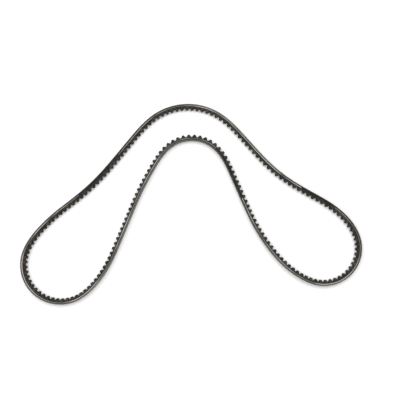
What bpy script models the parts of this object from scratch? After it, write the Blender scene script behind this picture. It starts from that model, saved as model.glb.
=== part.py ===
"""A raw-edge cogged V-belt of 13 x 8 mm section, lying as a free closed loop on the edge of its back.

Seen from above, the loop has a crown, a shoulder and a lobe on each side, and an inner arch between the
lobes where the belt is bent backwards. The section is five bonded plies. From the back inwards they are
the back fabric, the overcord rubber, the tension cords, the adhesion rubber and the cogged rubber.

A belt bends most easily at the valleys between its cogs, so the loop is divided at valleys into nine
spans. Each span turns on its neighbour about a vertical hinge line through the tension cords, the one
level of the section that keeps its length. The loop is open at the middle of the inner arch.
"""

import math

import bmesh
import bpy
import numpy as np
from mathutils import Vector

MM = 0.001

# The section. The plies are listed from the back inwards, and the last is as thick as it is in the
# valleys between the cogs.
TOP_WIDTH = 13.0 * MM
THICKNESS = 8.0 * MM
FLANK_ANGLE = math.radians(20.0)
PLY_THICKNESS = {
    "back_fabric": 0.9 * MM,
    "overcord_rubber": 0.7 * MM,
    "tension_cords": 1.0 * MM,
    "adhesion_rubber": 0.55 * MM,
    "cogged_rubber": 0.75 * MM,
}

# The cogs, measured along the tension cords.
COG_PITCH = 7.5 * MM
COG_TIP = 2.2 * MM
VALLEY_FLOOR = 1.6 * MM

# The gaps that keep neighbouring solids apart: between bonded plies, and between the ends of two spans
# at their hinge line. Away from that line the ends draw back, to leave room for the turn.
BOND_GAP = 0.15 * MM
END_GAP = 0.15 * MM
LARGEST_TURN = math.radians(20.0)

# Each ply's colour and roughness.
PLY_FINISH = {
    "back_fabric": ((0.060, 0.058, 0.055), 0.75),
    "overcord_rubber": ((0.040, 0.039, 0.037), 0.55),
    "tension_cords": ((0.330, 0.310, 0.270), 0.80),
    "adhesion_rubber": ((0.050, 0.048, 0.045), 0.55),
    "cogged_rubber": ((0.045, 0.042, 0.038), 0.60),
}

# The spans to each side of the crown, as far as the middle of the inner arch, with the cogs on each. The
# middle of the crown lies CROWN_OFFSET clockwise of the loop's point furthest along +Y.
CROWN_COGS = 23
CROWN_OFFSET = -1.5 * MM
SPAN_COGS = 21
RIGHT_SPANS = ("right_shoulder", "right_lobe_outer", "right_lobe_inner", "right_arch")
LEFT_SPANS = ("left_shoulder", "left_lobe_outer", "left_lobe_inner", "left_arch")
COG_COUNT = CROWN_COGS + SPAN_COGS * (len(RIGHT_SPANS) + len(LEFT_SPANS))

# The tension cords of the loop lie as if round these discs, clockwise: each disc's centre and radius. A
# disc of negative radius stands outside the loop, and the belt bends backwards round it.
LOOP_DISCS = {
    "crown": (-7 * MM, 56 * MM, 84 * MM),
    "right shoulder": (247 * MM, 203 * MM, -203 * MM),
    "upper side of the right lobe": (158 * MM, -62 * MM, 72 * MM),
    "right lobe": (184 * MM, -61 * MM, 52 * MM),
    "lower side of the right lobe": (208 * MM, 2 * MM, 118 * MM),
    "right inner run": (262 * MM, 65 * MM, 199 * MM),
    "inner arch": (-2 * MM, 44 * MM, -51 * MM),
    "left side of the inner arch": (109 * MM, -66 * MM, -202 * MM),
    "left inner run": (-216 * MM, -34 * MM, 110 * MM),
    "left lobe": (-186 * MM, -84 * MM, 55 * MM),
    "upper side of the left lobe": (-118 * MM, -111 * MM, 124 * MM),
    "left shoulder": (-344 * MM, 242 * MM, -294 * MM),
}

# How far to each side the belt's stiffness spreads a change of bend.
EASING = 24.0 * MM

# How closely the outline is drawn, and how far to each side of a valley its heading is taken.
ARC_STEP = math.radians(1.0)
OUTLINE_STEP = 0.5 * MM
HEADING_REACH = 0.25 * COG_PITCH

# The size at which the hinge empties are drawn.
EMPTY_SIZE = 10.0 * MM


def ply_depths():
    """Return each ply's outer and inner depth below the back, with the bond gaps between plies."""
    depths = {}
    depth = 0.0
    for ply, thickness in PLY_THICKNESS.items():
        depths[ply] = (depth, depth + thickness)
        depth += thickness + BOND_GAP
    return depths


PLY_DEPTHS = ply_depths()
SQUARE_EDGE = PLY_THICKNESS["back_fabric"]
PITCH_DEPTH = sum(PLY_DEPTHS["tension_cords"]) / 2
ROOT_DEPTH = PLY_DEPTHS["cogged_rubber"][1]


def run_heading(disc, after):
    """Return the heading of the straight run that touches a disc and the one after it."""
    x, y, radius = disc
    next_x, next_y, next_radius = after
    apart = math.hypot(next_x - x, next_y - y)
    return math.atan2(next_y - y, next_x - x) - math.asin((radius - next_radius) / apart)


def line_round(discs):
    """Return the points of the closed line that lies round discs: an arc on each, with straight runs."""
    points = []
    for index, disc in enumerate(discs):
        x, y, radius = disc
        arriving = run_heading(discs[index - 1], disc)
        leaving = run_heading(disc, discs[(index + 1) % len(discs)])
        way = -math.copysign(1.0, radius)
        turn = way * (leaving - arriving) % (2 * math.pi)
        steps = math.ceil(turn / ARC_STEP)
        for step in range(steps + 1):
            heading = arriving + way * turn * step / steps
            points.append((x - radius * math.sin(heading), y + radius * math.cos(heading)))
    return np.array(points)


def points_at_lengths(outline, lengths):
    """Return the points that lie at the given lengths along a closed outline."""
    closed = np.vstack([outline, outline[:1]])
    travelled = np.concatenate([[0.0], np.cumsum(np.linalg.norm(np.diff(closed, axis=0), axis=1))])
    wrapped = np.mod(lengths, travelled[-1])
    return np.stack([np.interp(wrapped, travelled, closed[:, axis]) for axis in range(2)], axis=1)


def outline_length(outline):
    """Return the length of a closed outline."""
    return np.linalg.norm(np.roll(outline, -1, axis=0) - outline, axis=1).sum()


def loop_outline():
    """Return the loop of the tension cords: the line round the discs, with each change of bend eased."""
    outline = line_round(list(LOOP_DISCS.values()))
    length = outline_length(outline)
    count = round(length / OUTLINE_STEP)
    outline = points_at_lengths(outline, np.arange(count) / count * length)
    reach = round(EASING / OUTLINE_STEP)
    return np.mean([np.roll(outline, shift, axis=0) for shift in range(-reach, reach + 1)], axis=0)


def start_at_top(outline):
    """Return the closed outline's points, beginning with the one furthest along +Y."""
    return np.roll(outline, -int(np.argmax(outline[:, 1])), axis=0)


def valley_frames():
    """Return each valley's point on the tension cords and its inward direction, clockwise.

    The loop is scaled to hold a whole number of cogs. The first valley begins the crown, whose middle
    is CROWN_OFFSET clockwise of the point furthest along +Y, and the back's bounding box is centred
    on the origin.
    """
    outline = start_at_top(loop_outline())
    outline *= COG_COUNT * COG_PITCH / outline_length(outline)
    lengths = (np.arange(COG_COUNT) - 0.5 * CROWN_COGS) * COG_PITCH + CROWN_OFFSET
    points = points_at_lengths(outline, lengths)
    before = points_at_lengths(outline, lengths - HEADING_REACH)
    ahead = points_at_lengths(outline, lengths + HEADING_REACH) - before
    along = ahead / np.linalg.norm(ahead, axis=1)[:, None]
    inward = np.stack([along[:, 1], -along[:, 0]], axis=1)
    back = points - PITCH_DEPTH * inward
    centre = 0.5 * (back.min(axis=0) + back.max(axis=0))
    return points - centre, inward


def half_width(depth):
    """Return half the section's width at a depth: square at the back fabric, then tapering."""
    return 0.5 * TOP_WIDTH - max(0.0, depth - SQUARE_EDGE) * math.tan(FLANK_ANGLE)


def end_gap(outer_depth, inner_depth):
    """Return how far, in cogs, a ply stops short of the hinge line at each end of its span."""
    reach = max(abs(outer_depth - PITCH_DEPTH), abs(inner_depth - PITCH_DEPTH))
    return (END_GAP + reach * math.tan(0.5 * LARGEST_TURN)) / COG_PITCH


def plain_stations(first, count, gap, inner_depth):
    """Return positions in cogs along a span, each with the depth of a plain ply's inner face."""
    positions = [first + gap]
    positions += [first + cog for cog in range(1, count)]
    positions.append(first + count - gap)
    return [(position, inner_depth) for position in positions]


def cogged_stations(first, count, gap):
    """Return positions in cogs along a span, each with the depth of the cogged ply's inner face."""
    floor = 0.5 * VALLEY_FLOOR / COG_PITCH
    tip = 0.5 * COG_TIP / COG_PITCH
    stations = []
    for cog in range(first, first + count):
        stations.append((cog + (gap if cog == first else 0.0), ROOT_DEPTH))
        stations.append((cog + floor, ROOT_DEPTH))
        stations.append((cog + 0.5 - tip, THICKNESS))
        stations.append((cog + 0.5 + tip, THICKNESS))
        stations.append((cog + 1.0 - floor, ROOT_DEPTH))
    stations.append((first + count - gap, ROOT_DEPTH))
    return stations


def station_corners(position, outer_depth, inner_depth, points, inward):
    """Return a section's four corners, at a position in cogs that may lie between two valleys."""
    before = math.floor(position)
    part = position - before
    here = before % COG_COUNT
    beyond = (before + 1) % COG_COUNT
    point = (1.0 - part) * points[here] + part * points[beyond]
    direction = (1.0 - part) * inward[here] + part * inward[beyond]
    corners = []
    for depth, side in ((outer_depth, -1), (outer_depth, 1), (inner_depth, 1), (inner_depth, -1)):
        place = point + (depth - PITCH_DEPTH) * direction
        height = 0.5 * TOP_WIDTH + side * half_width(depth)
        corners.append(Vector((place[0], place[1], height)))
    return corners


def loft(name, sections, origin):
    """Return a mesh that joins four-cornered sections in order and closes both ends."""
    mesh = bpy.data.meshes.new(name)
    shape = bmesh.new()
    rings = [[shape.verts.new(corner - origin) for corner in section] for section in sections]
    for near, far in zip(rings, rings[1:]):
        for side in range(4):
            beside = (side + 1) % 4
            shape.faces.new((near[side], near[beside], far[beside], far[side]))
    shape.faces.new(reversed(rings[0]))
    shape.faces.new(rings[-1])
    bmesh.ops.recalc_face_normals(shape, faces=shape.faces)
    shape.to_mesh(mesh)
    shape.free()
    return mesh


def finish(name, colour, roughness):
    """Return a non-metallic material."""
    material = bpy.data.materials.new(name)
    material.use_nodes = True
    shader = material.node_tree.nodes["Principled BSDF"]
    shader.inputs["Base Color"].default_value = (*colour, 1.0)
    shader.inputs["Roughness"].default_value = roughness
    shader.inputs["Metallic"].default_value = 0.0
    return material


def add_empty(collection, name, place, parent):
    """Add an empty at a place in the world, under a parent empty."""
    empty = bpy.data.objects.new(name, None)
    empty.empty_display_size = EMPTY_SIZE
    collection.objects.link(empty)
    empty.parent = parent
    parent_place = parent["place"] if parent else (0.0, 0.0, 0.0)
    empty["place"] = tuple(place)
    empty.location = Vector(place) - Vector(parent_place)
    return empty


def add_ply(collection, span, first, count, ply, anchor, loop):
    """Add one ply of one span, under the empty on the span's hinge line."""
    name = f"{span}_{ply}"
    outer_depth, inner_depth = PLY_DEPTHS[ply]
    gap = end_gap(outer_depth, inner_depth)
    if ply == "cogged_rubber":
        stations = cogged_stations(first, count, gap)
    else:
        stations = plain_stations(first, count, gap, inner_depth)
    sections = [station_corners(position, outer_depth, depth, *loop) for position, depth in stations]
    mesh = loft(name, sections, Vector(anchor["place"]))
    mesh.materials.append(finish(name, *PLY_FINISH[ply]))
    piece = bpy.data.objects.new(name, mesh)
    collection.objects.link(piece)
    piece.parent = anchor


def add_span(collection, span, first, count, hinge_at, parent, loop):
    """Add a span's empty, on the hinge line at a valley, and its five plies."""
    points, _ = loop
    place = (0.0, 0.0, 0.0)
    if hinge_at is not None:
        place = (*points[hinge_at % COG_COUNT], 0.0)
    anchor = add_empty(collection, f"{span}_hinge", place, parent)
    for ply in PLY_THICKNESS:
        add_ply(collection, span, first, count, ply, anchor, loop)
    return anchor


def build():
    """Build the belt: the crown, then the spans down each side to the middle of the inner arch."""
    for item in list(bpy.data.objects):
        bpy.data.objects.remove(item, do_unlink=True)
    collection = bpy.data.collections.new("v_belt")
    bpy.context.scene.collection.children.link(collection)
    loop = valley_frames()

    crown = add_span(collection, "crown", 0, CROWN_COGS, None, None, loop)
    parent = crown
    first = CROWN_COGS
    for span in RIGHT_SPANS:
        parent = add_span(collection, span, first, SPAN_COGS, first, parent, loop)
        first += SPAN_COGS
    parent = crown
    last = 0
    for span in LEFT_SPANS:
        parent = add_span(collection, span, last - SPAN_COGS, SPAN_COGS, last, parent, loop)
        last -= SPAN_COGS


build()
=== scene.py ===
"""Visual model of the raw-edge cogged V-belt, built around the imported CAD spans.

The belt is one smooth strip, closed but for a slit at the middle of the inner arch. It is made here in ten
lengths, each with the same five bonded plies as the CAD. Eight lengths run from the middle of one CAD span
to the middle of the next and bend across the hinge between them. The last two run on to the slit.

A place on the belt is given by three belt coordinates: its length along the tension cords, clockwise
from the valley where the crown begins, its depth below the back, and its height above the middle of
the section. Every mesh keeps them in the attribute "belt", and the materials are drawn along them. The
attribute "grinding" tells how far the flank there is ground into a cord, from 0 to 1.
"""

import math
from collections import namedtuple

import bmesh
import bpy
import numpy as np
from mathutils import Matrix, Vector


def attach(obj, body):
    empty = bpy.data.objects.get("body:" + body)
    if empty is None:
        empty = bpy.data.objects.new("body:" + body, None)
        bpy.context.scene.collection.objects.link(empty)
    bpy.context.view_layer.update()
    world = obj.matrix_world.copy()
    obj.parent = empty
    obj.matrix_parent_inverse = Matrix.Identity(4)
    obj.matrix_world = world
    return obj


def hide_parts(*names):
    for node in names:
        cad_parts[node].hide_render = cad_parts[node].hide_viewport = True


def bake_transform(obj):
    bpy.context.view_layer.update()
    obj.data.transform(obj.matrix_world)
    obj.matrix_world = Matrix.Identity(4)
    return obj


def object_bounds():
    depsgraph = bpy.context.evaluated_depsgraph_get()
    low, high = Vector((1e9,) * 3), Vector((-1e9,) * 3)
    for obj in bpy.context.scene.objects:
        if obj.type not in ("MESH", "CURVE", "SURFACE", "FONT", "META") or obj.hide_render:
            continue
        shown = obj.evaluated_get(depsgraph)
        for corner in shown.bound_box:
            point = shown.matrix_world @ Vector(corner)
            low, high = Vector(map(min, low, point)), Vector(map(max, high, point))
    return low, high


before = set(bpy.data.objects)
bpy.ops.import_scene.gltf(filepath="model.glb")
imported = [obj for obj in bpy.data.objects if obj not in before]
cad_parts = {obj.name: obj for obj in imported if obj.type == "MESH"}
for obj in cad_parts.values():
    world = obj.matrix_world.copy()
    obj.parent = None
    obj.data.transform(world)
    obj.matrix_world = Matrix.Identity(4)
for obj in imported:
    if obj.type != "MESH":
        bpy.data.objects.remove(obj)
cad_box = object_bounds()

MM = 0.001

# The section, as in the CAD. The visual plies meet in the middle of the CAD's bond gaps.
TOP_WIDTH = 13.0 * MM
THICKNESS = 8.0 * MM
FLANK_ANGLE = math.radians(20.0)
SQUARE_EDGE = 0.9 * MM
PITCH_DEPTH = 2.4 * MM
ROOT_DEPTH = 4.5 * MM
PLY_DEPTHS = {
    "back_fabric": (0.0, 0.975 * MM),
    "overcord_rubber": (0.975 * MM, 1.825 * MM),
    "tension_cords": (1.825 * MM, 2.975 * MM),
    "adhesion_rubber": (2.975 * MM, 3.675 * MM),
    "cogged_rubber": (3.675 * MM, THICKNESS),
}

# The cogs, measured along the tension cords, with the radii of their rounded corners.
COG_PITCH = 7.5 * MM
COG_TIP = 2.2 * MM
VALLEY_FLOOR = 1.6 * MM
TIP_RADIUS = 0.8 * MM
ROOT_RADIUS = 1.2 * MM
ARC_STEPS = 6
SIDE_STEPS = 3

# Small edges of the plies, and how far the rubber round the cords lies inside the flank. Faces that meet at
# more than SHARP_ANGLE keep a hard edge between them.
BACK_EDGE_RADIUS = 0.3 * MM
COG_EDGE = 0.12 * MM
SLAB_INSET = 0.01 * MM
SHARP_ANGLE = math.radians(35.0)

# Where the meshes have their rows. The shares are of half the back's height, of the cogged ply's depth down
# its flank, and of half its inner face.
STEPS_PER_COG = 6
BACK_SHARES = np.linspace(0.15, 0.85, 5)
BAND_ROWS = 4
FLANK_SHARES = (0.3, 0.65)
FACE_SHARES = (1.0, 0.66, 0.33)

# The spans to each side of the crown, as far as the middle of the inner arch, with the cogs on each. The
# middle of the crown lies CROWN_OFFSET clockwise of the loop's point furthest along +Y.
CROWN_COGS = 23
CROWN_OFFSET = -1.5 * MM
SPAN_COGS = 21
RIGHT_SPANS = ("right_shoulder", "right_lobe_outer", "right_lobe_inner", "right_arch")
LEFT_SPANS = ("left_shoulder", "left_lobe_outer", "left_lobe_inner", "left_arch")
COG_COUNT = CROWN_COGS + SPAN_COGS * (len(RIGHT_SPANS) + len(LEFT_SPANS))
LOOP_LENGTH = COG_COUNT * COG_PITCH

# The reach over which the belt's heading is taken.
HEADING_REACH = 0.25 * COG_PITCH

# The two open ends at the middle of the inner arch. Each stops short of it, so that they don't press into
# each other where the spans' motions bring them nearest.
END_GAP = 0.05 * MM
LEFT_END = -SPAN_COGS * len(LEFT_SPANS) * COG_PITCH + END_GAP
RIGHT_END = (CROWN_COGS + SPAN_COGS * len(RIGHT_SPANS)) * COG_PITCH - END_GAP

# The tension cords of the loop lie as if round these discs, clockwise: each disc's centre and radius. A
# disc of negative radius stands outside the loop, and the belt bends backwards round it.
LOOP_DISCS = {
    "crown": (-7 * MM, 56 * MM, 84 * MM),
    "right shoulder": (247 * MM, 203 * MM, -203 * MM),
    "upper side of the right lobe": (158 * MM, -62 * MM, 72 * MM),
    "right lobe": (184 * MM, -61 * MM, 52 * MM),
    "lower side of the right lobe": (208 * MM, 2 * MM, 118 * MM),
    "right inner run": (262 * MM, 65 * MM, 199 * MM),
    "inner arch": (-2 * MM, 44 * MM, -51 * MM),
    "left side of the inner arch": (109 * MM, -66 * MM, -202 * MM),
    "left inner run": (-216 * MM, -34 * MM, 110 * MM),
    "left lobe": (-186 * MM, -84 * MM, 55 * MM),
    "upper side of the left lobe": (-118 * MM, -111 * MM, 124 * MM),
    "left shoulder": (-344 * MM, 242 * MM, -294 * MM),
}

# How far to each side the belt's stiffness spreads a change of bend.
EASING = 24.0 * MM

ARC_STEP = math.radians(1.0)
OUTLINE_STEP = 0.5 * MM

# The tension cords lie side by side in the cord ply. Three are wound together round the loop, and so each
# moves across the belt by three spacings in one turn. They move fastest past WINDING_MIDDLE, a length
# along the belt at which each flank is cut midway between two cords. The outermost cord is cut where it
# reaches a flank, and shows there as a pale line that stands CORD_PROUD out of it. It isn't shown where less
# than CORD_SLIVER, a share of its radius, is cut off or left, or where it has too few rings to make a shape.
CORDS_WOUND = 3
CORD_RADIUS = 0.5 * MM
CORD_SPACING = 1.16 * MM
CORD_PROUD = 0.03 * MM
CORD_SLIVER = 0.02
CORD_STEP = 1.25 * MM
CORD_SIDES = 12
FEWEST_RINGS = 3
WINDING_MIDDLE = 317.0 * MM
WINDING_EASE = 0.38

# Lengths in the materials' patterns, in millimetres as Nodes.belt gives the belt coordinates: between the
# fabric's threads, along the cord from one strand to the next, and across the cogs' dark skin.
THREAD_SPACING = 0.75
CORD_LAY = 2.4
SKIN_FULL = 0.1
SKIN_END = 0.6

# How much the patterns stand out of the surface.
WEAVE_RELIEF = 0.10 * MM
GROUND_RELIEF = 0.05 * MM

# Depths in millimetres between which the back's looks give way to those of the fabric's cut edge.
BACK_LOOKS_END = 0.10
EDGE_LOOKS_START = 0.26

# Colours, as shares of red, green and blue light that come back.
RUBBER_BLACK = (0.0065, 0.0057, 0.0046)
RUBBER_GREY = (0.042, 0.037, 0.030)
COG_BLACK = (0.008, 0.006, 0.0042)
COG_GREY = (0.090, 0.076, 0.059)
SHORT_FIBRE = (0.13, 0.12, 0.10)
FILLING_BLACK = (0.012, 0.012, 0.011)
FILLING_GREY = (0.022, 0.021, 0.020)
WORN_THREAD = (0.045, 0.044, 0.041)
CUT_EDGE_BLACK = (0.020, 0.019, 0.017)
CUT_EDGE_GREY = (0.060, 0.057, 0.051)
# The paler cut-thread colours show most at the crown and the lobes, partly as painted sheen.
CUT_THREAD_GREY = (0.13, 0.125, 0.115)
CUT_THREAD_PALE = (0.34, 0.33, 0.305)
CORD_GREY = (0.32, 0.305, 0.275)
CORD_PALE = (0.56, 0.54, 0.50)
CORD_STAIN = (0.085, 0.080, 0.070)
BETWEEN_STRANDS = (0.10, 0.095, 0.085)
FLOOR_WHITE = (0.90, 0.90, 0.90)

# How far the floor lies below the belt, so that the two surfaces stay apart, and how wide it is.
FLOOR_GAP = 0.05 * MM
FLOOR_SIZE = 12000.0 * MM

# The studio's lights: each one's place, the length of its sides and its power in watts.
SKY_STRENGTH = 0.42
LIGHTS = {
    "above_left": ((-220 * MM, 150 * MM, 1250 * MM), 1300 * MM, 16.5),
    "above_right": ((380 * MM, 420 * MM, 1500 * MM), 700 * MM, 7.0),
}

# The camera, which looks straight down. Its shift, a share of the picture's width, puts the belt a little
# below the middle of the picture. The lens and its sensor are in millimetres, as Blender takes them.
CAMERA_PLACE = (12.5 * MM, -24.0 * MM, 871.6 * MM)
FOCAL_LENGTH = 55.0
SENSOR_WIDTH = 36.0
LENS_SHIFT = 0.0534
NEAREST_SEEN = 10.0 * MM

Length = namedtuple("Length", "name bodies first last hinge")


def run_heading(disc, after):
    """Return the heading of the straight run that touches a disc and the one after it."""
    x, y, radius = disc
    next_x, next_y, next_radius = after
    apart = math.hypot(next_x - x, next_y - y)
    return math.atan2(next_y - y, next_x - x) - math.asin((radius - next_radius) / apart)


def line_round(discs):
    """Return the points of the closed line that lies round discs: an arc on each, with straight runs."""
    points = []
    for index, disc in enumerate(discs):
        x, y, radius = disc
        arriving = run_heading(discs[index - 1], disc)
        leaving = run_heading(disc, discs[(index + 1) % len(discs)])
        way = -math.copysign(1.0, radius)
        turn = way * (leaving - arriving) % (2 * math.pi)
        steps = math.ceil(turn / ARC_STEP)
        for step in range(steps + 1):
            heading = arriving + way * turn * step / steps
            points.append((x - radius * math.sin(heading), y + radius * math.cos(heading)))
    return np.array(points)


def points_at_lengths(outline, lengths):
    """Return the points that lie at the given lengths along a closed outline."""
    closed = np.vstack([outline, outline[:1]])
    travelled = np.concatenate([[0.0], np.cumsum(np.linalg.norm(np.diff(closed, axis=0), axis=1))])
    wrapped = np.mod(lengths, travelled[-1])
    return np.stack([np.interp(wrapped, travelled, closed[:, axis]) for axis in range(2)], axis=1)


def outline_length(outline):
    """Return the length of a closed outline."""
    return np.linalg.norm(np.roll(outline, -1, axis=0) - outline, axis=1).sum()


def loop_outline():
    """Return the loop of the tension cords: the line round the discs, with each change of bend eased."""
    outline = line_round(list(LOOP_DISCS.values()))
    length = outline_length(outline)
    count = round(length / OUTLINE_STEP)
    outline = points_at_lengths(outline, np.arange(count) / count * length)
    reach = round(EASING / OUTLINE_STEP)
    return np.mean([np.roll(outline, shift, axis=0) for shift in range(-reach, reach + 1)], axis=0)


class CordLine:
    """The closed line of the tension cords, placed as in the CAD."""

    def __init__(self):
        outline = loop_outline()
        outline = np.roll(outline, -int(np.argmax(outline[:, 1])), axis=0)
        outline *= LOOP_LENGTH / outline_length(outline)
        self.closed = np.vstack([outline, outline[:1]])
        steps = np.linalg.norm(np.diff(self.closed, axis=0), axis=1)
        self.travelled = np.concatenate([[0.0], np.cumsum(steps)])
        self.crown_start = -0.5 * CROWN_COGS * COG_PITCH + CROWN_OFFSET
        self.centre = np.zeros(2)
        valleys = np.arange(COG_COUNT) * COG_PITCH
        points, inward = self.at(valleys)
        back = points - PITCH_DEPTH * inward
        self.centre = 0.5 * (back.min(axis=0) + back.max(axis=0))

    def points_at(self, along):
        """Return the points at lengths along the cords from the crown's first valley."""
        wrapped = np.mod(np.asarray(along) + self.crown_start, self.travelled[-1])
        columns = [np.interp(wrapped, self.travelled, self.closed[:, axis]) for axis in range(2)]
        return np.stack(columns, axis=-1) - self.centre

    def at(self, along):
        """Return the points at lengths along the cords, and the directions inwards from the back."""
        along = np.asarray(along)
        ahead = self.points_at(along + HEADING_REACH) - self.points_at(along - HEADING_REACH)
        ahead /= np.linalg.norm(ahead, axis=-1)[..., None]
        return self.points_at(along), np.stack([ahead[..., 1], -ahead[..., 0]], axis=-1)

    def place(self, belt):
        """Return the places in space of belt coordinates (along, depth, height)."""
        points, inward = self.at(belt[..., 0])
        plan = points + (belt[..., 1] - PITCH_DEPTH)[..., None] * inward
        return np.concatenate([plan, (0.5 * TOP_WIDTH + belt[..., 2])[..., None]], axis=-1)


CORD_LINE = CordLine()


def half_width(depth):
    """Return half the section's width at a depth: square at the back fabric, then tapering."""
    return 0.5 * TOP_WIDTH - np.maximum(0.0, depth - SQUARE_EDGE) * math.tan(FLANK_ANGLE)


def belt_lengths():
    """Return the ten lengths of belt, each with its bodies, its first and last valley and its hinge."""
    lengths = []
    middle = CROWN_COGS // 2
    parent, hinge = "crown", CROWN_COGS
    for span in RIGHT_SPANS:
        last = hinge + SPAN_COGS // 2
        lengths.append(Length(f"{parent}_to_{span}", (parent, span), middle, last, hinge))
        parent, hinge, middle = span, hinge + SPAN_COGS, last
    lengths.append(Length(f"{parent}_end", (parent,), middle, hinge, None))
    parent, hinge, middle = "crown", 0, CROWN_COGS // 2
    for span in LEFT_SPANS:
        first = hinge - SPAN_COGS // 2
        lengths.append(Length(f"{parent}_to_{span}", (parent, span), first, middle, hinge))
        parent, hinge, middle = span, hinge - SPAN_COGS, first
    lengths.append(Length(f"{parent}_end", (parent,), hinge, middle, None))
    return lengths


def rounded_corner(before, corner, after, radius):
    """Return points along the arc that rounds a corner between two straight runs."""
    back = before - corner
    forth = after - corner
    back /= np.linalg.norm(back)
    forth /= np.linalg.norm(forth)
    half_angle = 0.5 * math.acos(float(back @ forth))
    middle = back + forth
    centre = corner + middle / np.linalg.norm(middle) * radius / math.sin(half_angle)
    first = corner + back * radius / math.tan(half_angle) - centre
    last = corner + forth * radius / math.tan(half_angle) - centre
    turn = math.atan2(first[0] * last[1] - first[1] * last[0], float(first @ last))
    points = []
    for step in range(ARC_STEPS + 1):
        angle = turn * step / ARC_STEPS
        cos, sin = math.cos(angle), math.sin(angle)
        points.append(centre + (first[0] * cos - first[1] * sin, first[0] * sin + first[1] * cos))
    return points


def cog_profile():
    """Return the cogged ply's inner face over one pitch, as (length from the valley, depth) pairs."""
    valley = np.array([0.0, ROOT_DEPTH])
    root = np.array([0.5 * VALLEY_FLOOR, ROOT_DEPTH])
    tip = np.array([0.5 * (COG_PITCH - COG_TIP), THICKNESS])
    crest = np.array([0.5 * COG_PITCH, THICKNESS])
    rising = [valley]
    rising += rounded_corner(valley, root, tip, ROOT_RADIUS)
    over = rounded_corner(root, tip, crest, TIP_RADIUS)
    for step in range(1, SIDE_STEPS):
        share = step / SIDE_STEPS
        rising.append((1 - share) * rising[ARC_STEPS + 1] + share * over[0])
    rising += over
    rising.append(crest)
    falling = [np.array([COG_PITCH - along, depth]) for along, depth in reversed(rising[1:-1])]
    return np.array(rising + falling)


def add_piece(name, shells, shading, length, ply):
    """Add a piece of closed shells with its material slots, hide the CAD parts that it stands for, and hand
    it to join.

    A shell is a pair: belt coordinates in rings along the belt, and the index of its material.
    """
    places, belts, faces, material_indices = [], [], [], []
    base = 0
    for belt, finish in shells:
        rings, around = belt.shape[:2]
        belt[..., 0] = np.clip(belt[..., 0], LEFT_END, RIGHT_END)
        places.append(CORD_LINE.place(belt).reshape(-1, 3))
        belts.append(belt.reshape(-1, 3))
        index = base + np.arange(rings * around).reshape(rings, around)
        beside = np.roll(index, -1, axis=1)
        quads = np.stack([index[:-1], beside[:-1], beside[1:], index[1:]], axis=-1).reshape(-1, 4)
        faces += quads.tolist()
        faces.append(index[0][::-1].tolist())
        faces.append(index[-1].tolist())
        material_indices += [finish] * (len(quads) + 2)
        base += rings * around
    mesh = bpy.data.meshes.new(name)
    mesh.from_pydata(np.concatenate(places).tolist(), [], faces)
    mesh.polygons.foreach_set("material_index", material_indices)
    coordinates = mesh.attributes.new("belt", "FLOAT_VECTOR", "POINT")
    belts = np.concatenate(belts)
    coordinates.data.foreach_set("vector", belts.astype(np.float32).ravel())
    grinding = mesh.attributes.new("grinding", "FLOAT", "POINT")
    ground = 0.5 + 0.5 * np.cos(2 * math.pi * winding(belts[:, 0]))
    grinding.data.foreach_set("value", ground.astype(np.float32))
    for material in shading:
        mesh.materials.append(material)
    turned = bmesh.new()
    turned.from_mesh(mesh)
    bmesh.ops.recalc_face_normals(turned, faces=turned.faces)
    turned.to_mesh(mesh)
    turned.free()
    mesh.shade_smooth()
    mesh.set_sharp_from_angle(angle=SHARP_ANGLE)
    piece = bpy.data.objects.new(name, mesh)
    bpy.context.scene.collection.objects.link(piece)
    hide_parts(*[f"{body}_{ply}" for body in length.bodies])
    join(piece, length)


def join(piece, length):
    """Make a piece ride on its one body; a piece between two bodies only has its place baked into its mesh.
    """
    if length.hinge is None:
        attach(piece, length.bodies[0])
        return
    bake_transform(piece)


def plain_stations(length):
    """Return lengths along the belt for a ply of even section."""
    count = (length.last - length.first) * STEPS_PER_COG
    return np.linspace(length.first, length.last, count + 1) * COG_PITCH


def sweep(stations, section):
    """Return the belt coordinates of an even section at each station."""
    rings = np.empty((len(stations), len(section), 3))
    rings[..., 0] = stations[:, None]
    rings[..., 1:] = section[None]
    return rings


def both_sides(upper):
    """Return a section from its upper half, listed from the back inwards, and the mirror of it."""
    upper = np.array(upper)
    lower = upper[::-1] * (1.0, -1.0)
    return np.concatenate([upper, lower])


def back_fabric_section():
    """Return the back fabric's section, with rounded outer edges."""
    outer, inner = PLY_DEPTHS["back_fabric"]
    centre_height = 0.5 * TOP_WIDTH - BACK_EDGE_RADIUS
    upper = [(outer, height) for height in BACK_SHARES * centre_height]
    for step in range(ARC_STEPS + 1):
        angle = 0.5 * math.pi * step / ARC_STEPS
        depth = outer + BACK_EDGE_RADIUS * (1 - math.cos(angle))
        upper.append((depth, centre_height + BACK_EDGE_RADIUS * math.sin(angle)))
    upper.append((SQUARE_EDGE, half_width(SQUARE_EDGE)))
    upper.append((inner, half_width(inner)))
    return both_sides(upper)


def band_section(outer, inner, inset=0.0):
    """Return the section of a ply with plain ground flanks."""
    depths = np.linspace(outer, inner, BAND_ROWS)
    return both_sides([(depth, half_width(depth) - inset) for depth in depths])


def cogged_rings(length):
    """Return the cogged ply's rings: flanks from the bond to the cogs, then the cogs' inner face."""
    outer = PLY_DEPTHS["cogged_rubber"][0]
    profile = cog_profile()
    rings = []
    for cog in range(length.first, length.last + 1):
        for along, depth in profile if cog < length.last else profile[:1]:
            upper = [(outer, half_width(outer))]
            for share in FLANK_SHARES:
                row = outer + share * (depth - COG_EDGE - outer)
                upper.append((row, half_width(row)))
            upper.append((depth - COG_EDGE, half_width(depth - COG_EDGE)))
            face = half_width(depth) - COG_EDGE
            upper += [(depth, share * face) for share in FACE_SHARES]
            section = both_sides(upper)
            ring = np.empty((len(section), 3))
            ring[:, 0] = cog * COG_PITCH + along
            ring[:, 1:] = section
            rings.append(ring)
    return np.array(rings)


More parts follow.
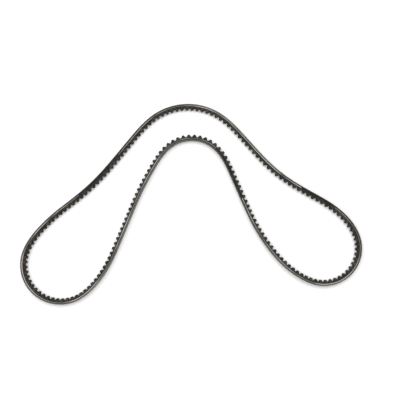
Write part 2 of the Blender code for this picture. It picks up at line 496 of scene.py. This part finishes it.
def winding(along):
    """Return how many spacings the cords have moved across the belt at lengths along it."""
    turn = (along - WINDING_MIDDLE) / LOOP_LENGTH
    return 0.5 + CORDS_WOUND * (turn + WINDING_EASE / (2 * math.pi) * np.sin(2 * math.pi * turn))


def cut_cord_shells(length):
    """Return the outermost cords at both flanks, ground almost flush with them where they are cut."""
    shells = []
    steps = round((length.last - length.first) * COG_PITCH / CORD_STEP)
    stations = np.linspace(length.first, length.last, steps + 1) * COG_PITCH
    moved = winding(stations)
    flank = half_width(PITCH_DEPTH)
    angles = np.linspace(0.0, 2 * math.pi, CORD_SIDES, endpoint=False)
    for cord in range(math.floor(moved.min()), math.ceil(moved.max()) + 1):
        beyond = (moved - cord) * CORD_SPACING
        shown = np.abs(beyond) < (1 - CORD_SLIVER) * CORD_RADIUS
        if shown.sum() < FEWEST_RINGS:
            continue
        for side in (1, -1):
            rings = np.empty((shown.sum(), CORD_SIDES, 3))
            rings[..., 0] = stations[shown][:, None]
            rings[..., 1] = PITCH_DEPTH + CORD_RADIUS * np.cos(angles)
            free = flank + beyond[shown][:, None] + CORD_RADIUS * np.sin(angles)
            rings[..., 2] = side * np.minimum(free, half_width(rings[..., 1]) + CORD_PROUD)
            shells.append((rings, 1))
    return shells


def build_length(length, finishes):
    """Build the five plies of one length of belt."""
    stations = plain_stations(length)
    for ply, (outer, inner) in PLY_DEPTHS.items():
        if ply == "back_fabric":
            shells = [(sweep(stations, back_fabric_section()), 0)]
        elif ply == "tension_cords":
            shells = [(sweep(stations, band_section(outer, inner, SLAB_INSET)), 0)]
            shells += cut_cord_shells(length)
        elif ply == "cogged_rubber":
            shells = [(cogged_rings(length), 0)]
        else:
            shells = [(sweep(stations, band_section(outer, inner)), 0)]
        add_piece(f"{length.name}_{ply}", shells, finishes[ply], length, ply)


class Nodes:
    """A new material's node tree, with short calls to add nodes and join them."""

    def __init__(self, name):
        self.material = bpy.data.materials.new(name)
        self.material.use_nodes = True
        self.tree = self.material.node_tree
        self.shader = self.tree.nodes["Principled BSDF"]

    def feed(self, socket, value):
        """Join an output to a socket, or set the socket's own value."""
        if isinstance(value, bpy.types.NodeSocket):
            self.tree.links.new(value, socket)
        else:
            socket.default_value = value

    def math(self, operation, *values):
        """Return the result of a Math node."""
        node = self.tree.nodes.new("ShaderNodeMath")
        node.operation = operation
        for socket, value in zip(node.inputs, values):
            self.feed(socket, value)
        return node.outputs[0]

    def ramp(self, value, low, high, to_low=0.0, to_high=1.0):
        """Return a value carried smoothly from one range to another."""
        node = self.tree.nodes.new("ShaderNodeMapRange")
        node.interpolation_type = "SMOOTHSTEP"
        for name, number in (("From Min", low), ("From Max", high), ("To Min", to_low), ("To Max", to_high)):
            node.inputs[name].default_value = number
        self.feed(node.inputs["Value"], value)
        return node.outputs["Result"]

    def belt(self):
        """Return the belt coordinates in millimetres: along, depth and height."""
        attribute = self.tree.nodes.new("ShaderNodeAttribute")
        attribute.attribute_name = "belt"
        apart = self.tree.nodes.new("ShaderNodeSeparateXYZ")
        self.tree.links.new(attribute.outputs["Vector"], apart.inputs[0])
        return [self.math("MULTIPLY", apart.outputs[axis], 1.0 / MM) for axis in range(3)]

    def within_cog(self, along, depth):
        """Return the distance in millimetres from the cogged face to a place on the flank."""
        pitch, root, tip = COG_PITCH / MM, ROOT_DEPTH / MM, THICKNESS / MM
        slope = 0.5 * (pitch - COG_TIP / MM - VALLEY_FLOOR / MM) / (tip - root)
        side = self.math("MULTIPLY", self.math("SUBTRACT", depth, root), slope)
        from_side = self.math("SUBTRACT", self.math("PINGPONG", along, 0.5 * pitch), side)
        from_side = self.math("SUBTRACT", from_side, 0.5 * VALLEY_FLOOR / MM)
        from_root = self.math("SUBTRACT", root, depth)
        from_tip = self.math("SUBTRACT", tip, depth)
        return self.math("MINIMUM", from_tip, self.math("MAXIMUM", from_side, from_root))

    def paleness_and_sheen(self, along):
        """Return how pale the flank is near the back, from 0 to 1: most where it is ground into a cord, at
        the crown and the lobes, where the paleness is partly painted sheen.
        """
        attribute = self.tree.nodes.new("ShaderNodeAttribute")
        attribute.attribute_name = "grinding"
        patches = self.noise(self.vector(along, 0.0, 0.0), scale=0.012)
        lasting = self.ramp(patches, 0.35, 0.65, to_low=0.35)
        return self.math("MULTIPLY", attribute.outputs["Fac"], lasting)

    def vector(self, *values):
        """Return a vector made of three values."""
        node = self.tree.nodes.new("ShaderNodeCombineXYZ")
        for socket, value in zip(node.inputs, values):
            self.feed(socket, value)
        return node.outputs[0]

    def noise(self, vector, scale, detail=2.0, roughness=0.5):
        """Return the value of a Noise texture."""
        node = self.tree.nodes.new("ShaderNodeTexNoise")
        self.tree.links.new(vector, node.inputs["Vector"])
        node.inputs["Scale"].default_value = scale
        node.inputs["Detail"].default_value = detail
        node.inputs["Roughness"].default_value = roughness
        return node.outputs["Fac"]

    def mix(self, factor, first, second):
        """Return a blend of two colours."""
        node = self.tree.nodes.new("ShaderNodeMix")
        node.data_type = "RGBA"
        self.feed(node.inputs["Factor"], factor)
        for name, colour in (("A", first), ("B", second)):
            socket = [item for item in node.inputs if item.name == name and item.type == "RGBA"][0]
            self.feed(socket, (*colour, 1.0) if isinstance(colour, tuple) else colour)
        return [item for item in node.outputs if item.type == "RGBA"][0]

    def mix_value(self, factor, first, second):
        """Return a blend of two numbers."""
        node = self.tree.nodes.new("ShaderNodeMix")
        for socket, value in zip((node.inputs[0], node.inputs[2], node.inputs[3]), (factor, first, second)):
            self.feed(socket, value)
        return node.outputs[0]

    def bump(self, height, relief):
        """Give the shader a bump, from a pattern and how much it stands out of the surface in metres."""
        node = self.tree.nodes.new("ShaderNodeBump")
        node.inputs["Strength"].default_value = 1.0
        node.inputs["Distance"].default_value = relief
        self.feed(node.inputs["Height"], height)
        self.tree.links.new(node.outputs["Normal"], self.shader.inputs["Normal"])

    def finish(self, colour, roughness, gloss):
        """Set the shader's colour, roughness and gloss, and return the material."""
        self.feed(self.shader.inputs["Base Color"], colour)
        self.feed(self.shader.inputs["Roughness"], roughness)
        self.shader.inputs["Specular IOR Level"].default_value = gloss
        self.shader.inputs["Metallic"].default_value = 0.0
        return self.material


def fabric_finish():
    """Return the back fabric: a bias weave filled with black rubber, with paler threads at its cut edge that
    are partly painted sheen.
    """
    nodes = Nodes("rubberised_fabric")
    along, depth, height = nodes.belt()
    place = nodes.vector(along, depth, height)
    right = nodes.math("DIVIDE", nodes.math("ADD", along, height), THREAD_SPACING)
    left = nodes.math("DIVIDE", nodes.math("SUBTRACT", along, height), THREAD_SPACING)
    warp = nodes.math("ABSOLUTE", nodes.math("SINE", nodes.math("MULTIPLY", right, math.pi)))
    weft = nodes.math("ABSOLUTE", nodes.math("SINE", nodes.math("MULTIPLY", left, math.pi)))
    cells = nodes.math("ADD", nodes.math("FLOOR", right), nodes.math("FLOOR", left))
    over = nodes.math("PINGPONG", cells, 1.0)
    under = nodes.math("MULTIPLY", weft, nodes.math("SUBTRACT", 1.0, over))
    weave = nodes.math("ADD", nodes.math("MULTIPLY", warp, over), under)
    wear = nodes.noise(place, scale=0.22, detail=3.0)
    grain = nodes.noise(place, scale=3.5, detail=3.0)
    thread_tops = nodes.ramp(weave, 0.35, 1.0)
    filling = nodes.mix(nodes.ramp(grain, 0.3, 0.7), FILLING_BLACK, FILLING_GREY)
    worn = nodes.math("MULTIPLY", thread_tops, nodes.ramp(wear, 0.35, 0.7, to_low=0.25, to_high=0.8))
    back = nodes.mix(worn, filling, WORN_THREAD)
    layered = nodes.vector(along, nodes.math("MULTIPLY", depth, 6.0), height)
    fibres = nodes.noise(layered, scale=1.6, detail=4.0, roughness=0.65)
    dull = nodes.mix(nodes.ramp(fibres, 0.40, 0.66), CUT_EDGE_BLACK, CUT_EDGE_GREY)
    pale_threads_and_sheen = nodes.mix(nodes.ramp(fibres, 0.36, 0.62), CUT_THREAD_GREY, CUT_THREAD_PALE)
    # The cut edge turns to its paler threads at the crown and the lobes; this paleness is partly the
    # threads' own and partly painted sheen.
    cut = nodes.mix(nodes.paleness_and_sheen(along), dull, pale_threads_and_sheen)
    at_edge = nodes.ramp(depth, BACK_LOOKS_END, EDGE_LOOKS_START)
    colour = nodes.mix(at_edge, back, cut)
    nodes.bump(nodes.math("ADD", weave, nodes.math("MULTIPLY", grain, 0.5)), WEAVE_RELIEF)
    back_roughness = nodes.ramp(grain, 0.3, 0.7, to_low=0.30, to_high=0.42)
    return nodes.finish(colour, nodes.mix_value(at_edge, back_roughness, 0.75), gloss=0.3)


def ground_rubber_finish(name, dark, pale, skin=False):
    """Return black rubber ground along the belt, with the cut ends of its short fibres showing.

    The cogs have a darker skin, which shows as a rim round the ground end of each cog.
    """
    nodes = Nodes(name)
    along, depth, height = nodes.belt()
    drawn_out = nodes.vector(nodes.math("MULTIPLY", along, 0.10), depth, height)
    streaks = nodes.noise(drawn_out, scale=6.0, detail=3.0, roughness=0.6)
    flattened = nodes.vector(along, depth, nodes.math("MULTIPLY", height, 0.3))
    specks = nodes.noise(flattened, scale=4.5, roughness=0.6)
    clouds = nodes.noise(nodes.vector(along, depth, height), scale=0.12)
    colour = nodes.mix(nodes.ramp(streaks, 0.35, 0.68), dark, pale)
    colour = nodes.mix(nodes.ramp(clouds, 0.35, 0.65, to_high=0.75), colour, dark)
    colour = nodes.mix(nodes.ramp(specks, 0.64, 0.74, to_high=0.7), colour, SHORT_FIBRE)
    if skin:
        rim = nodes.ramp(nodes.within_cog(along, depth), SKIN_FULL, SKIN_END, to_low=1.0, to_high=0.0)
        colour = nodes.mix(rim, colour, dark)
    nodes.bump(nodes.math("ADD", streaks, nodes.math("MULTIPLY", specks, 0.6)), GROUND_RELIEF)
    roughness = nodes.ramp(streaks, 0.3, 0.7, to_low=0.50, to_high=0.66)
    return nodes.finish(colour, roughness, gloss=0.13)


def cut_cord_finish():
    """Return the tension cord where it is cut: pale fibres in slanting strands, with rubber between them."""
    nodes = Nodes("cut_polyester_cord")
    along, depth, height = nodes.belt()
    slant = nodes.math("ADD", nodes.math("DIVIDE", along, CORD_LAY), nodes.math("MULTIPLY", depth, 0.8))
    strands = nodes.math("ABSOLUTE", nodes.math("SINE", nodes.math("MULTIPLY", slant, math.pi)))
    layered = nodes.vector(along, nodes.math("MULTIPLY", depth, 3.0), height)
    fibres = nodes.noise(layered, scale=3.0, detail=4.0, roughness=0.6)
    stains = nodes.noise(nodes.vector(along, 0.0, height), scale=0.022, detail=3.0)
    pale = nodes.mix(nodes.ramp(fibres, 0.35, 0.65), CORD_GREY, CORD_PALE)
    pale = nodes.mix(nodes.ramp(stains, 0.42, 0.62, to_high=0.85), pale, CORD_STAIN)
    colour = nodes.mix(nodes.ramp(strands, 0.0, 0.35), BETWEEN_STRANDS, pale)
    nodes.bump(nodes.math("ADD", strands, fibres), GROUND_RELIEF)
    return nodes.finish(colour, roughness=0.85, gloss=0.2)


def ply_finishes():
    """Return each ply's materials."""
    return {
        "back_fabric": [fabric_finish()],
        "overcord_rubber": [ground_rubber_finish("overcord_compound", RUBBER_BLACK, RUBBER_GREY)],
        "tension_cords": [ground_rubber_finish("cord_gum", RUBBER_BLACK, RUBBER_GREY), cut_cord_finish()],
        "adhesion_rubber": [ground_rubber_finish("adhesion_compound", RUBBER_BLACK, RUBBER_GREY)],
        "cogged_rubber": [ground_rubber_finish("cog_compound", COG_BLACK, COG_GREY, skin=True)],
    }


def add_floor():
    """Add the plain pale floor that the belt lies on."""
    level = cad_box[0].z - FLOOR_GAP
    bpy.ops.mesh.primitive_plane_add(size=FLOOR_SIZE, location=(0.0, 0.0, level))
    floor = bpy.context.object
    floor.name = "floor"
    floor.data.materials.append(Nodes("floor_paint").finish((*FLOOR_WHITE, 1.0), roughness=0.9, gloss=0.0))


def add_area_light(name, place, size, power):
    """Add a square soft light that faces the belt."""
    light = bpy.data.lights.new(name, "AREA")
    light.size = size
    light.energy = power
    lamp = bpy.data.objects.new(name, light)
    bpy.context.scene.collection.objects.link(lamp)
    lamp.location = place
    lamp.rotation_euler = (-Vector(place)).to_track_quat("-Z", "Y").to_euler()


def add_lights():
    """Add the studio: a soft sky, a broad light above the left shoulder and a smaller one on the right."""
    world = bpy.data.worlds.new("studio")
    world.use_nodes = True
    background = world.node_tree.nodes["Background"]
    background.inputs["Color"].default_value = (1.0, 1.0, 1.0, 1.0)
    background.inputs["Strength"].default_value = SKY_STRENGTH
    bpy.context.scene.world = world
    for name, (place, size, power) in LIGHTS.items():
        add_area_light(name, place, size, power)


def add_camera():
    """Add the camera, looking straight down at the belt."""
    lens = bpy.data.cameras.new("camera")
    lens.lens = FOCAL_LENGTH
    lens.sensor_width = SENSOR_WIDTH
    lens.shift_y = LENS_SHIFT
    lens.clip_start = NEAREST_SEEN
    camera = bpy.data.objects.new("camera", lens)
    bpy.context.scene.collection.objects.link(camera)
    camera.location = CAMERA_PLACE
    bpy.context.scene.camera = camera


bpy.context.scene.view_settings.view_transform = "Standard"
finishes_of_plies = ply_finishes()
for belt_length in belt_lengths():
    build_length(belt_length, finishes_of_plies)
add_floor()
add_lights()
add_camera()
